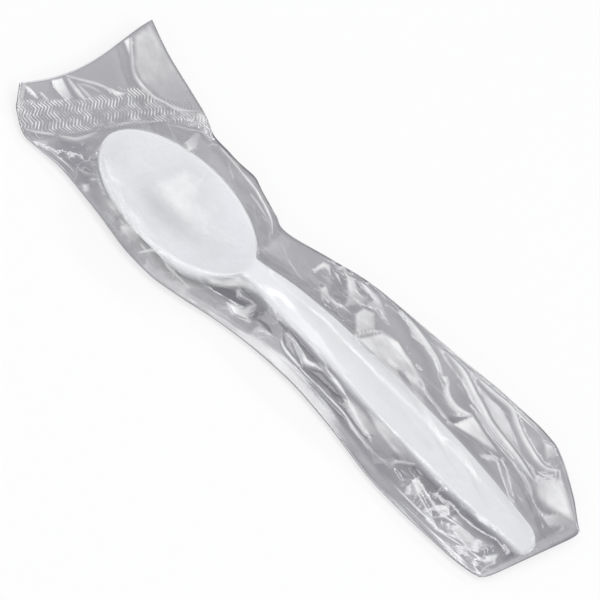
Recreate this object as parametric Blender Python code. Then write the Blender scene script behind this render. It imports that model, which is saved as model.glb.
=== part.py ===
"""A plastic teaspoon lying in its crumpled clear film sleeve. Metres, +Z up, the spoon along X."""
import math

import bmesh
import bpy
import numpy as np

MM = 0.001

# Spoon
SPOON_LENGTH = 148.0
BOWL_LENGTH = 47.6
BOWL_WIDTH = 30.0
BOWL_WALL = 1.2
HANDLE_WALL = 1.2
HANDLE_RIM = 0.3
BOWL_RIM_ROUND = 0.15
HANDLE_RIM_ROUND = 0.35
RIDGE_HEIGHT = 1.0
END_ROUND = 4.4
# exponents: fullness of the bowl's outline, dish of the bowl, slope of the ridge, belly of the underside
BOWL_FULLNESS = 0.52
DISH_POWER = 2.2
RIDGE_POWER = 1.35
BELLY_POWER = 2.4
# shares of the bowl's length: where the dish ends and the handle's ridge is full
DISH_END = 0.9
DISH_TO_RIDGE = 0.25
UNDERSIDE_END = 1.4
SEGMENTS_ROUND = 8
OUTLINE_MISS = 50.0
NECK_HOLLOW_START = 0.36
NECK_HOLLOW_FULL = 0.43
HOLLOW_END_WALL = 2.0
BOWL_STATIONS = 17
HANDLE_STATIONS = 21
# share of the spoon's length, half the handle's width
HANDLE_HALF_WIDTH = (
    (0.26, 3.2), (0.33, 3.3), (0.38, 4.4), (0.47, 5.5), (0.57, 6.2),
    (0.67, 6.8), (0.76, 6.8), (0.86, 6.0), (0.94, 4.8), (1.0, 4.2),
)
# share of the spoon's length, height of the rim and of the handle's shoulders
SHOULDER_HEIGHT = (
    (0.0, 8.3), (0.16, 8.7), (0.30, 9.3), (0.34, 9.9), (0.40, 10.6), (0.47, 10.7),
    (0.57, 9.8), (0.68, 8.4), (0.78, 7.2), (0.88, 6.0), (0.95, 5.0), (1.0, 3.9),
)
# share of the spoon's length, height of the handle's side walls
SIDE_WALL_HEIGHT = (
    (0.0, 0.9), (0.19, 1.0), (0.22, 1.6), (0.25, 3.2), (0.29, 4.7), (0.34, 4.8),
    (0.40, 4.2), (0.50, 3.7), (0.60, 3.6), (0.90, 3.4), (0.97, 3.0), (1.0, 2.1),
)
# share of the bowl's length, height of its inside along the middle
BOWL_INSIDE = (
    (0.0, 8.3), (0.03, 7.7), (0.085, 5.6), (0.17, 3.6), (0.31, 2.1), (0.46, 1.7),
    (0.63, 2.1), (0.78, 3.6), (0.88, 5.7), (0.95, 7.9), (1.0, 9.4),
)
# share of the bowl's length, height of its underside along the middle
BOWL_UNDERSIDE = (
    (0.0, 7.3), (0.04, 5.6), (0.10, 3.4), (0.20, 1.6), (0.32, 0.7), (0.46, 0.47),
    (0.63, 0.7), (0.78, 1.6), (0.90, 3.1), (1.0, 4.7), (1.1, 6.1), (1.22, 7.1), (1.4, 7.4),
)

# Film wrapper
FILM_THICKNESS = 0.15
SPOON_GAP = 0.3
PLY_GAP = 0.15
FOLD_RADIUS = 0.3
FILM_SAG = 0.010
SEAM_PLACE = 0.72
SEAM_LAP = 0.10
BAND_RIDGE = 0.25
WELD_FROM = 17.86
END_RISE = 0.3
EDGE_MARGIN = 1.4
LOWER_MARGIN = 0.5
TAIL_OPENING = 0.9
# how far in the lower ply rises: shares of the width at the near and far edges, stations at the band
NEAR_RISE = 0.17
FAR_RISE = 0.24
BAND_RISE = 2.2
STATION_COUNT = 44
TOP_COLUMNS = 29
# near edge x, y, height, then far edge x, y, height; the x of each is a share of the spoon's length
FILM_EDGES = (
    (-0.168, -1.5, 3.4, -0.097, 40.2, 4.6),
    (-0.152, -5.8, 2.6, -0.030, 36.4, 3.6),
    (-0.137, -8.2, 1.6, 0.041, 33.6, 2.4),
    (-0.091, -12.3, 1.4, 0.090, 31.1, 2.2),
    (-0.030, -12.2, 1.6, 0.125, 27.8, 2.6),
    (0.043, -14.2, 1.9, 0.162, 27.0, 2.9),
    (0.100, -15.9, 2.2, 0.190, 26.6, 3.0),
    (0.150, -17.2, 2.2, 0.222, 26.9, 2.8),
    (0.205, -17.3, 2.0, 0.255, 25.0, 2.6),
    (0.270, -15.8, 1.8, 0.296, 22.0, 2.6),
    (0.335, -13.5, 1.5, 0.340, 20.7, 3.0),
    (0.415, -12.0, 1.5, 0.415, 24.6, 3.2),
    (0.490, -11.8, 1.6, 0.490, 27.6, 3.0),
    (0.590, -13.4, 1.5, 0.590, 28.8, 3.0),
    (0.700, -16.7, 1.4, 0.700, 29.2, 3.2),
    (0.790, -17.7, 1.5, 0.810, 30.6, 3.0),
    (0.870, -17.8, 1.6, 0.905, 30.4, 3.2),
    (0.920, -17.4, 1.6, 0.965, 27.9, 3.4),
    (0.9735, -16.3, 1.6, 1.0735, 15.6, 2.4),
)
CUT_EDGE_HOLLOW = 2.6
BAND_FROM = 2
BAND_TO = 3
WELD_PAST = 0.25
WELD_LIFT = 0.3
# folds standing up from the upper ply: start x, y, end x, y, height, half width
# the x of each is a share of the spoon's length
UPPER_FOLDS = (
    (0.44, 15.0, 0.66, 20.5, 2.0, 1.5),
    (0.58, 10.5, 0.80, 20.0, 2.2, 1.5),
    (0.72, 25.0, 0.93, 20.5, 1.9, 1.4),
    (0.80, 11.0, 0.99, 15.0, 2.0, 1.4),
    (0.87, 27.0, 0.99, 16.5, 1.8, 1.4),
    (0.31, 11.5, 0.45, 18.0, 2.4, 1.6),
    (0.32, 18.5, 0.46, 11.0, 1.9, 1.4),
    (0.25, -13.0, 0.42, -8.6, 2.0, 1.5),
    (0.41, -9.4, 0.57, -9.8, 1.8, 1.3),
    (0.57, -11.0, 0.80, -14.2, 1.5, 1.3),
    (0.81, -13.0, 0.95, -8.6, 1.7, 1.4),
    (0.04, 17.5, 0.25, 21.5, 1.6, 1.4),
    (0.08, 23.0, 0.28, 17.0, 1.7, 1.4),
    (-0.05, -9.5, 0.07, -12.0, 1.4, 1.3),
    (-0.05, 5.0, 0.02, 14.5, 1.6, 1.4),
)
ALONG_STEP_COUNT = 4
ACROSS_STEP_COUNT = 2
MOST_RAISE = 1.3
RELAX_COUNT = 2600


def smooth(t):
    t = np.clip(t, 0.0, 1.0)
    return t * t * (3 - 2 * t)


def curve(table, at):
    """A smooth line through (place, value) pairs, without overshoot between them."""
    xs = np.array([row[0] for row in table], float)
    ys = np.array([row[1] for row in table], float)
    step = np.diff(ys) / np.diff(xs)
    slope = np.concatenate([[step[0]], (step[:-1] + step[1:]) / 2, [step[-1]]])
    slope[1:-1][step[:-1] * step[1:] <= 0] = 0
    at = np.clip(at, xs[0], xs[-1])
    i = np.clip(np.searchsorted(xs, at, side="right") - 1, 0, len(xs) - 2)
    width = xs[i + 1] - xs[i]
    t = (at - xs[i]) / width
    return (
        ys[i] * (1 + 2 * t) * (1 - t) ** 2
        + ys[i + 1] * t * t * (3 - 2 * t)
        + slope[i] * width * t * (1 - t) ** 2
        - slope[i + 1] * width * t * t * (1 - t)
    )


def half_width(x):
    """Half the spoon's width at x, bowl and handle blended at the neck."""
    x = np.asarray(x, float)
    g = np.clip(x / BOWL_LENGTH, 0.0, 1.0)
    bowl = BOWL_WIDTH / 2 * np.power(4 * g * (1 - g), BOWL_FULLNESS)
    handle = curve(HANDLE_HALF_WIDTH, x / SPOON_LENGTH) * smooth((x / BOWL_LENGTH - 0.8) / 0.1)
    body = np.power(bowl**6 + handle**6, 1 / 6)
    past = np.clip((x - SPOON_LENGTH + END_ROUND) / END_ROUND, 0.0, 1.0)
    return body * np.sqrt(1 - past**2)


def middle_top(x):
    """Height of the upper side along the middle: the bowl's inside, then the handle's ridge."""
    shoulder = curve(SHOULDER_HEIGHT, x / SPOON_LENGTH)
    inside = curve(BOWL_INSIDE, x / BOWL_LENGTH)
    past = smooth((SPOON_LENGTH - x) / (2 * END_ROUND))
    ridge = shoulder + RIDGE_HEIGHT * smooth((x / BOWL_LENGTH - 1.0) / DISH_TO_RIDGE) * past
    return np.where(x < BOWL_LENGTH, np.minimum(inside, shoulder), ridge)


def spoon_top(x, y):
    """Height of the spoon's upper side at a place inside its outline."""
    shoulder = curve(SHOULDER_HEIGHT, x / SPOON_LENGTH)
    w = half_width(x)
    in_bowl = 1 - smooth((x / BOWL_LENGTH - DISH_END) / DISH_TO_RIDGE)
    rim = BOWL_WALL * in_bowl + HANDLE_RIM * (1 - in_bowl)
    inner = np.maximum(w - rim, 0.05)
    power = DISH_POWER * in_bowl + RIDGE_POWER * (1 - in_bowl)
    share = np.clip(np.abs(y) / inner, 0.0, 1.0)
    depth = (middle_top(x) - shoulder) * np.clip((w - rim) / 0.5, 0.0, 1.0)
    edge = np.clip((np.abs(y) - inner) / np.maximum(w - inner, 0.01), 0.0, 1.0)
    drop = BOWL_RIM_ROUND * in_bowl + HANDLE_RIM_ROUND * (1 - in_bowl)
    return shoulder + depth * (1 - share**power) - drop * edge**2


def spoon_under(x, y):
    """Height of the spoon's underside, before the handle is hollowed."""
    w = np.maximum(half_width(x), 0.05)
    edge = curve(SHOULDER_HEIGHT, x / SPOON_LENGTH) - curve(SIDE_WALL_HEIGHT, x / SPOON_LENGTH)
    keel = np.where(
        x < UNDERSIDE_END * BOWL_LENGTH, np.minimum(curve(BOWL_UNDERSIDE, x / BOWL_LENGTH), edge), edge
    )
    return edge + (keel - edge) * (1 - np.clip(np.abs(y) / w, 0.0, 1.0) ** BELLY_POWER)


def spoon_section(x):
    """The points of one closed cross-section of the spoon, from the middle of the top round."""
    w = float(half_width(x))
    hollow = float(
        smooth((x / SPOON_LENGTH - NECK_HOLLOW_START) / (NECK_HOLLOW_FULL - NECK_HOLLOW_START))
        * (1 - smooth((x - SPOON_LENGTH + HOLLOW_END_WALL) / 0.5))
    )
    in_bowl = float(1 - smooth((x / BOWL_LENGTH - DISH_END) / DISH_TO_RIDGE))
    rim = min(BOWL_WALL * in_bowl + HANDLE_RIM * (1 - in_bowl), 0.3 * w)
    wall = min(HANDLE_WALL, 0.3 * w)
    top_y = [0.0, 0.06 * w, 0.2 * w, 0.38 * w, 0.56 * w, 0.74 * w, w - rim, w]
    solid_y = min(0.8 * w, 0.9 * w - wall)
    low_y = [w, w - wall, (w - wall - 0.15) * hollow + solid_y * (1 - hollow), 0.5 * w, 0.25 * w, 0.0]
    half = [(y, float(spoon_top(x, y))) for y in top_y]
    for n, y in enumerate(low_y):
        low = float(spoon_under(x, y))
        if n > 1:
            low += (float(spoon_top(x, y)) - HANDLE_WALL - low) * hollow
        half.append((y, low))
    other = [(-y, z) for y, z in half[-2:0:-1]]
    return [(x, y, z) for y, z in half + other]


def add_mesh(name, points, faces, offset):
    mesh = bpy.data.meshes.new(name)
    mesh.from_pydata([[(a + b) * MM for a, b in zip(p, offset)] for p in points], [], faces)
    work = bmesh.new()
    work.from_mesh(mesh)
    bmesh.ops.recalc_face_normals(work, faces=work.faces)
    work.to_mesh(mesh)
    work.free()
    for face in mesh.polygons:
        face.use_smooth = True
    obj = bpy.data.objects.new(name, mesh)
    bpy.context.scene.collection.objects.link(obj)
    return obj


def loft(loops):
    """Triangles that join closed loops of the same length, split the same way above and below."""
    n = len(loops[0])
    points = [p for loop in loops for p in loop]
    faces = []
    for k in range(len(loops) - 1):
        for i in range(n):
            a, b = k * n + i, k * n + (i + 1) % n
            d, c = a + n, b + n
            faces += [(a, b, c), (a, c, d)] if i < n // 2 else [(a, b, d), (b, c, d)]
    return points, faces


def build_spoon(offset):
    turn = np.linspace(0.06, math.pi * 0.93, BOWL_STATIONS)
    xs = list(BOWL_LENGTH * (1 - np.cos(turn)) / 2)
    start = xs[-1] + 0.9
    xs += list(np.linspace(start, SPOON_LENGTH - END_ROUND, HANDLE_STATIONS))
    xs += [SPOON_LENGTH - END_ROUND * s for s in (0.72, 0.48, 0.40, 0.26, 0.10, 0.012)]
    loops = [spoon_section(x) for x in xs]
    points, faces = loft(loops)
    n = len(loops[0])
    faces.append(tuple(range(n)))
    faces.append(tuple(range((len(loops) - 1) * n, len(loops) * n)))
    return add_mesh("spoon", points, faces, offset)


def edge_at(u):
    """Near and far edge of the sleeve at station place u: x, y, height of each."""
    places = np.arange(len(FILM_EDGES))
    rows = np.array(FILM_EDGES, float)
    got = [curve(list(zip(places, rows[:, c])), u) for c in range(6)]
    near = np.stack([got[0] * SPOON_LENGTH, got[1], got[2]], -1)
    far = np.stack([got[3] * SPOON_LENGTH, got[4], got[5]], -1)
    near[..., 1] = np.minimum(near[..., 1], -half_width(near[..., 0]) - EDGE_MARGIN)
    far[..., 1] = np.maximum(far[..., 1], half_width(far[..., 0]) + EDGE_MARGIN)
    return near, far


def place(u, c):
    """Plan position on the station line at place u, share c of the way across."""
    near, far = edge_at(u)
    c = np.asarray(c, float)[..., None]
    flat = near[..., None, :] * (1 - c) + far[..., None, :] * c
    hollow = CUT_EDGE_HOLLOW * (1 - smooth(np.asarray(u) / 1.6))
    flat[..., 0] += (hollow[..., None] if np.ndim(hollow) else hollow) * 4 * c[..., 0] * (1 - c[..., 0])
    return flat


def rise(x, y, lines):
    """Height added by folds, each a rounded ridge that fades at both ends."""
    z = np.zeros_like(x)
    for x0, y0, x1, y1, height, width in lines:
        ax, bx = x0 * SPOON_LENGTH, x1 * SPOON_LENGTH
        length = math.hypot(bx - ax, y1 - y0)
        t = ((x - ax) * (bx - ax) + (y - y0) * (y1 - y0)) / length**2
        d = ((x - ax) * (y1 - y0) - (y - y0) * (bx - ax)) / length
        z += height * np.exp(-((d / width) ** 2)) * smooth(t / 0.25) * smooth((1 - t) / 0.25)
    return z


def spoon_reach(x, y, margin, above):
    """The spoon's highest top, or lowest underside, within a margin of each place."""
    miss = -OUTLINE_MISS if above else OUTLINE_MISS
    side = spoon_top if above else spoon_under
    keep = np.maximum if above else np.minimum
    best = np.full(x.shape, miss)
    for turn in np.arange(SEGMENTS_ROUND) * 2 * math.pi / SEGMENTS_ROUND:
        px = x + margin * math.cos(turn)
        py = y + margin * math.sin(turn)
        px_in = np.clip(px, 0.02, SPOON_LENGTH - 0.02)
        inside = (px > 0) & (px < SPOON_LENGTH) & (np.abs(py) <= half_width(px_in))
        best = keep(best, np.where(inside, side(px_in, py), miss))
    return best


def middle_height(flat, u, c):
    """Height between the plies where they are joined."""
    end = smooth((np.asarray(u) - len(FILM_EDGES) + 2.4) / 1.4)
    if np.ndim(end):
        end = end[..., None]
    return flat[..., 2] + WELD_LIFT * end * np.sin(math.pi * c)


def drape_upper():
    """Heights of the upper ply's middle surface on the station grid, relaxed over the spoon."""
    coarse_u = np.linspace(BAND_TO, WELD_FROM - END_RISE, STATION_COUNT - 2)
    coarse_u = np.append(coarse_u, [WELD_FROM - END_RISE / 2, WELD_FROM])
    steps = np.arange((STATION_COUNT - 1) * ALONG_STEP_COUNT + 1) / ALONG_STEP_COUNT
    u = np.interp(steps, np.arange(STATION_COUNT), coarse_u)
    coarse_c = np.linspace(0, 1, TOP_COLUMNS)
    c = np.linspace(0, 1, (TOP_COLUMNS - 1) * ACROSS_STEP_COUNT + 1)
    flat = place(u, np.broadcast_to(c, (len(u), len(c))))
    x, y = flat[..., 0], flat[..., 1]
    joined = middle_height(flat, u, c) + FOLD_RADIUS
    need = spoon_reach(x, y, SPOON_GAP + 2 * FILM_THICKNESS, True) + SPOON_GAP + 1.5 * FILM_THICKNESS
    z = np.maximum(joined, need)
    along = np.linalg.norm(np.diff(flat[..., :2], axis=0), axis=2).mean() ** -2
    across = np.linalg.norm(np.diff(flat[..., :2], axis=1), axis=2).mean() ** -2
    for _ in range(RELAX_COUNT):
        inner = along * (z[:-2, 1:-1] + z[2:, 1:-1]) + across * (z[1:-1, :-2] + z[1:-1, 2:]) - FILM_SAG
        z[1:-1, 1:-1] = np.maximum(inner / (2 * (along + across)), need[1:-1, 1:-1])
    fade = np.minimum(smooth(c / 0.08), smooth((1 - c) / 0.08))[None, :]
    ends = np.minimum(smooth((u - BAND_TO) / 0.8), smooth((WELD_FROM - u) / 0.8))[:, None]
    z += rise(x, y, UPPER_FOLDS) * fade * ends
    low = z[::ALONG_STEP_COUNT, ::ACROSS_STEP_COUNT].copy()
    most = low + MOST_RAISE
    # raise the coarse points until the flat faces between them clear the spoon as well
    for _ in range(5):
        rows = np.arange(len(u)) / ALONG_STEP_COUNT
        cols = np.arange(len(c)) / ACROSS_STEP_COUNT
        r = np.minimum(rows.astype(int), len(low) - 2)
        q = np.minimum(cols.astype(int), low.shape[1] - 2)
        fr = (rows - r)[:, None]
        fq = (cols - q)[None, :]
        between = (
            low[r][:, q] * (1 - fr) * (1 - fq) + low[r + 1][:, q] * fr * (1 - fq)
            + low[r][:, q + 1] * (1 - fr) * fq + low[r + 1][:, q + 1] * fr * fq
        )
        short = np.maximum(need - between, 0)
        short[0] = short[-1] = 0
        lack = np.zeros_like(low)
        for a in (0, 1):
            for b in (0, 1):
                np.maximum.at(lack, (r[:, None] + a, q[None, :] + b), short)
        lack[0] = lack[-1] = 0
        low = np.minimum(low + 0.8 * lack, most)
    return coarse_u, coarse_c, low


def lower_height(flat, u, c, joined):
    """Height of the lower ply's middle surface: flat on the ground, rising to the edges and the seals."""
    base = FILM_THICKNESS / 2
    edge = np.maximum(1 - c / NEAR_RISE, 0) ** 2 + np.maximum(1 - (1 - c) / FAR_RISE, 0) ** 2
    seal = max(1 - (u - BAND_TO) / BAND_RISE, 0.0) ** 2 if u > BAND_TO else 1.0
    weld = max(1 - max(WELD_FROM - u, 0.0) / END_RISE, 0.0) ** 2
    lift = np.clip(np.maximum(edge, max(seal, weld)), 0.0, 1.0)
    z = base + (joined - FOLD_RADIUS - base) * lift
    if BAND_TO < u < WELD_FROM:
        under = spoon_reach(flat[..., 0], flat[..., 1], LOWER_MARGIN, False) - SPOON_GAP - FILM_THICKNESS / 2
        z = np.maximum(np.minimum(z, under), base)
    return z


def section_path(u, top_c, top_z):
    """The folded sheet at one station, as (x, y, height) from one side of the lap to the other."""
    near, far = edge_at(u)
    width = float(np.linalg.norm(far[:2] - near[:2]))
    turn_in = FOLD_RADIUS / width
    lap = SEAM_LAP / 2
    seam_end = SEAM_PLACE - lap
    first_c = [SEAM_PLACE + lap, seam_end - 0.008, seam_end - 0.04, 0.5, 0.34, 0.18, 0.09, turn_in]
    last_c = [1 - turn_in, 0.93, 0.84, SEAM_PLACE + lap, SEAM_PLACE - lap]
    raised = [FILM_THICKNESS + PLY_GAP] * 2 + [0.0] * 6
    rows = []
    for c, up in zip(first_c, raised):
        flat = place(u, [c])[0]
        joined = float(middle_height(flat, u, c))
        rows.append((flat[0], flat[1], float(lower_height(flat, u, c, joined)) + up))
    for side in (0.0, 1.0):
        flat = place(u, [side])[0]
        ends = [(flat[0], flat[1], flat[2] + FOLD_RADIUS * part) for part in (-0.4, 0.4)]
        if side == 0.0:
            rows += ends
            for c, z in zip(top_c, top_z):
                flat = place(u, [c])[0]
                rows.append((flat[0], flat[1], z))
        else:
            rows += ends[::-1]
    for c in last_c:
        flat = place(u, [c])[0]
        joined = float(middle_height(flat, u, c))
        rows.append((flat[0], flat[1], float(lower_height(flat, u, c, joined))))
    return np.array(rows), (near, far)


def thicken(rows, ends):
    """Outer and inner points of a folded sheet, half its thickness to each side in the station's plane."""
    near, far = ends
    axis = (far[:2] - near[:2]) / np.linalg.norm(far[:2] - near[:2])
    s = (rows[:, :2] - near[:2]) @ axis
    flat = np.stack([s, rows[:, 2]], 1)
    ahead = np.diff(flat, axis=0)
    ahead /= np.linalg.norm(ahead, axis=1)[:, None]
    turn = np.stack([-ahead[:, 1], ahead[:, 0]], 1)
    normal = np.concatenate([turn[:1], turn[:-1] + turn[1:], turn[-1:]])
    size = np.linalg.norm(normal, axis=1)
    normal = normal / np.maximum(size, 0.9)[:, None]
    normal = normal / np.maximum(np.linalg.norm(normal, axis=1) ** 2, 0.5)[:, None]
    half = FILM_THICKNESS / 2
    loops = []
    for sign in (1, -1):
        moved = flat + normal * half * sign
        plan = rows[:, :2] + (moved[:, 0] - s)[:, None] * axis
        loops.append([(p[0], p[1], max(q[1], 0.0)) for p, q in zip(plan, moved)])
    return loops


def build_film(offset):
    coarse_u, top_c, heights = drape_upper()
    last = len(FILM_EDGES) - 1
    tail_u = [0.0, 0.45, 1.0, 1.6]
    band_u = list(np.linspace(BAND_FROM, BAND_TO, 6))[:-1]
    top_c = np.clip(top_c, 0.004, 0.996)
    loops = []
    slab = []
    for u in tail_u + band_u:
        flat = place(u, top_c)
        middle = middle_height(flat, u, top_c)
        open_by = TAIL_OPENING * (1 - u / BAND_FROM) * np.sin(math.pi * top_c) if u < BAND_FROM else 0.0
        top = middle + FOLD_RADIUS + open_by
        if u >= BAND_FROM:
            knurl = (np.arange(len(top_c)) + len(slab)) % 2
            top[2:-2] += BAND_RIDGE * knurl[2:-2]
        rows, ends = section_path(u, top_c, top)
        loops.append((rows, ends))
        if u >= BAND_FROM:
            slab.append((u, top))
    for k, u in enumerate(coarse_u):
        z = heights[k].copy()
        flat = place(u, top_c)
        middle = middle_height(flat, u, top_c)
        z[0] = middle[0] + FOLD_RADIUS
        z[-1] = middle[-1] + FOLD_RADIUS
        if k in (0, len(coarse_u) - 1):
            z = middle + FOLD_RADIUS
            slab.append((u, z))
        rows, ends = section_path(u, top_c, z)
        loops.append((rows, ends))
    flat = place(last, top_c)
    end_z = middle_height(flat, last, top_c) + FOLD_RADIUS
    loops.append(section_path(last, top_c, end_z))
    rings = []
    for rows, ends in loops:
        outer, inner = thicken(rows, ends)
        rings.append(outer + inner[::-1])
    points, faces = loft(rings)
    n = len(rings[0])
    for k in (0, len(rings) - 1):
        for i in range(n // 2 - 1):
            faces.append((k * n + i, k * n + i + 1, k * n + n - 2 - i, k * n + n - 1 - i))
    film = add_mesh("film_wrapper", points, faces, offset)
    band = add_fill("band_fill", [seal_row(u, z, top_c) for u, z in slab[: len(band_u) + 1]], offset)
    start = seal_row(*slab[-1], top_c)
    final = seal_row(last, end_z, top_c)
    start = [p * 0.85 + q * 0.15 for p, q in zip(start, final)]
    past = [q + (q - p) / np.linalg.norm(q - p, axis=1)[:, None] * WELD_PAST for p, q in zip(start, final)]
    weld = add_fill("weld_fill", [start, past], offset)
    for other in (band, weld):
        join = film.modifiers.new(other.name, "BOOLEAN")
        join.operation = "UNION"
        join.object = other
        join.solver = "EXACT"
        other.hide_render = True
        other.display_type = "WIRE"
    return film


def seal_row(u, top, top_c):
    """Middle surfaces of the upper and lower ply at one station."""
    upper = place(u, top_c)
    lower = upper.copy()
    lower[:, 2] = middle_height(lower, u, top_c) - FOLD_RADIUS
    upper[:, 2] = top
    return [upper, lower]


def add_fill(name, rows, offset):
    """The solid that fuses the plies in a seal, between their middle surfaces and inside the last stations."""
    grid = np.array(rows)
    if len(rows) > 2:
        grid[0] = grid[0] * 0.8 + grid[1] * 0.2
        grid[-1] = grid[-1] * 0.8 + grid[-2] * 0.2
    grid = grid[:, :, 1:-1].copy()
    grid[:, :, 0] = grid[:, :, 0] * 0.7 + grid[:, :, 1] * 0.3
    grid[:, :, -1] = grid[:, :, -1] * 0.7 + grid[:, :, -2] * 0.3
    loops = [[tuple(p) for p in row[0]] + [tuple(p) for p in row[1][::-1]] for row in grid]
    points, faces = loft(loops)
    n = len(loops[0])
    for k in (0, len(loops) - 1):
        for i in range(n // 2 - 1):
            faces.append((k * n + i, k * n + i + 1, k * n + n - 2 - i, k * n + n - 1 - i))
    return add_mesh(name, points, faces, offset)


def material(name, colour, rough, alpha=1.0):
    mat = bpy.data.materials.new(name)
    mat.use_nodes = True
    shader = mat.node_tree.nodes["Principled BSDF"]
    shader.inputs["Base Color"].default_value = (*colour, 1.0)
    shader.inputs["Roughness"].default_value = rough
    shader.inputs["Metallic"].default_value = 0.0
    shader.inputs["Alpha"].default_value = alpha
    return mat


def centre_offset():
    """Moves the sleeve's box to stand on the origin."""
    u = np.linspace(0, len(FILM_EDGES) - 1, 400)
    near, far = edge_at(u)
    both = np.concatenate([near, far])
    middle = (both[:, :2].min(axis=0) + both[:, :2].max(axis=0)) / 2
    return (-float(middle[0]), -float(middle[1]), 0.0)


def main():
    for obj in list(bpy.data.objects):
        bpy.data.objects.remove(obj, do_unlink=True)
    offset = centre_offset()
    spoon = build_spoon(offset)
    film = build_film(offset)
    spoon.data.materials.append(material("spoon_plastic", (0.86, 0.88, 0.92), 0.3))
    film.data.materials.append(material("clear_film", (0.78, 0.78, 0.82), 0.15, 0.4))


main()
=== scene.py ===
import math

import bpy
import numpy as np
from mathutils import Matrix, Vector, bvhtree, geometry


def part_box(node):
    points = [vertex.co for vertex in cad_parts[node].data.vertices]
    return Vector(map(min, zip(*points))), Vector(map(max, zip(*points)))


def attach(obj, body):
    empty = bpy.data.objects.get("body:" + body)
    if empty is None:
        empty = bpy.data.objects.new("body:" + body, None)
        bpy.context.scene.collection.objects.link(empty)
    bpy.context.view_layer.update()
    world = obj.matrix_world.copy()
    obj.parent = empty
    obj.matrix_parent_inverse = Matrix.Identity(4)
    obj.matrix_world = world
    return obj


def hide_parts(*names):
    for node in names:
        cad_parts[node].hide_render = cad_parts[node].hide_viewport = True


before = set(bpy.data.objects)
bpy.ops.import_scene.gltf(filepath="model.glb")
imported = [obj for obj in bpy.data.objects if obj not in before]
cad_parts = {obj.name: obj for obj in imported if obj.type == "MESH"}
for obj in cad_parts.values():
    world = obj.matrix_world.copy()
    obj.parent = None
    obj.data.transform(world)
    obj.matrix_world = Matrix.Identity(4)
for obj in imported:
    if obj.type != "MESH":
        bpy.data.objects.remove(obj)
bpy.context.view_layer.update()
mm = 0.001


# 0 to 1 with a soft start and end
def smooth(t):
    t = np.clip(t, 0.0, 1.0)
    return t * t * (3 - 2 * t)


# a smooth curve through the rows of a table, flat where it turns back
def curve(table, at):
    xs = np.array([row[0] for row in table], float)
    ys = np.array([row[1] for row in table], float)
    step = np.diff(ys) / np.diff(xs)
    slope = np.concatenate([[step[0]], (step[:-1] + step[1:]) / 2, [step[-1]]])
    slope[1:-1][step[:-1] * step[1:] <= 0] = 0
    at = np.clip(at, xs[0], xs[-1])
    i = np.clip(np.searchsorted(xs, at, side="right") - 1, 0, len(xs) - 2)
    width = xs[i + 1] - xs[i]
    t = (at - xs[i]) / width
    return (
        ys[i] * (1 + 2 * t) * (1 - t) ** 2 + ys[i + 1] * t * t * (3 - 2 * t)
        + slope[i] * width * t * (1 - t) ** 2 - slope[i + 1] * width * t * t * (1 - t)
    )


# the spoon in mm; each table starts with a share of its length, or of the bowl's for inside and underside
spoon = {
    "length": 148.0, "bowlLength": 47.6, "bowlWidth": 30.0, "wall": 1.2, "ridge": 1.0, "endRound": 4.4,
    "bowlRim": 0.8, "bowlRimRound": 0.3, "handleRim": 1.0, "handleRimRound": 0.6, "rimRamp": 0.5,
    "bowlFullness": 0.52, "dishPower": 2.2, "ridgePower": 1.35, "bellyPower": 3.2, "joinPower": 6,
    "dishEnd": 0.9, "dishToRidge": 0.25, "undersideEnd": 1.4, "handleFrom": 0.8, "handleBlend": 0.1,
    "tipInset": 0.043,
    "halfWidth": (
        (0.26, 3.2), (0.33, 3.3), (0.38, 4.4), (0.47, 5.5), (0.57, 6.2),
        (0.67, 6.8), (0.76, 6.8), (0.86, 6.0), (0.94, 4.8), (1.0, 4.2),
    ),
    "shoulder": (
        (0.0, 8.3), (0.16, 8.7), (0.30, 9.3), (0.34, 9.9), (0.40, 10.6), (0.47, 10.7),
        (0.57, 9.8), (0.68, 8.4), (0.78, 7.2), (0.88, 6.0), (0.95, 5.0), (1.0, 3.9),
    ),
    "side": (
        (0.0, 0.9), (0.17, 1.1), (0.21, 2.6), (0.25, 4.4), (0.29, 5.5), (0.34, 5.2),
        (0.40, 4.3), (0.50, 3.7), (0.60, 3.6), (0.90, 3.4), (0.97, 3.0), (1.0, 2.1),
    ),
    "inside": (
        (0.0, 8.3), (0.03, 7.7), (0.085, 5.6), (0.17, 3.6), (0.31, 2.1), (0.46, 1.7),
        (0.63, 2.1), (0.78, 3.6), (0.88, 5.7), (0.95, 7.9), (1.0, 9.4),
    ),
    "underside": (
        (0.0, 7.3), (0.04, 5.6), (0.10, 3.4), (0.20, 1.6), (0.32, 0.7), (0.46, 0.47),
        (0.63, 0.7), (0.78, 1.6), (0.90, 3.1), (1.0, 4.7), (1.1, 6.1), (1.22, 7.1), (1.4, 7.4),
    ),
    "hollowFrom": 0.36, "hollowFull": 0.43, "hollowStep": 0.15, "endWall": 0.8, "endBlend": 0.5, "mostWall": 0.3,
    "topPoints": 20, "rimSteps": (0.8, 0.55, 0.3, 0.1, 0.0), "underPoints": 12,
    "bowlStations": 70, "handleStations": 110, "endStations": 16,
}


# half the spoon's width at x: the bowl's egg shape joined to the handle
def halfWidth(x):
    x = np.asarray(x, float)
    g = np.clip(x / spoon["bowlLength"], 0.0, 1.0)
    bowl = spoon["bowlWidth"] / 2 * np.power(4 * g * (1 - g), spoon["bowlFullness"])
    handle = curve(spoon["halfWidth"], x / spoon["length"])
    handle = handle * smooth((x / spoon["bowlLength"] - spoon["handleFrom"]) / spoon["handleBlend"])
    body = np.power(bowl ** spoon["joinPower"] + handle ** spoon["joinPower"], 1 / spoon["joinPower"])
    past = np.clip((x - spoon["length"] + spoon["endRound"]) / spoon["endRound"], 0.0, 1.0)
    return body * np.sqrt(1 - past**2)


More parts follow.
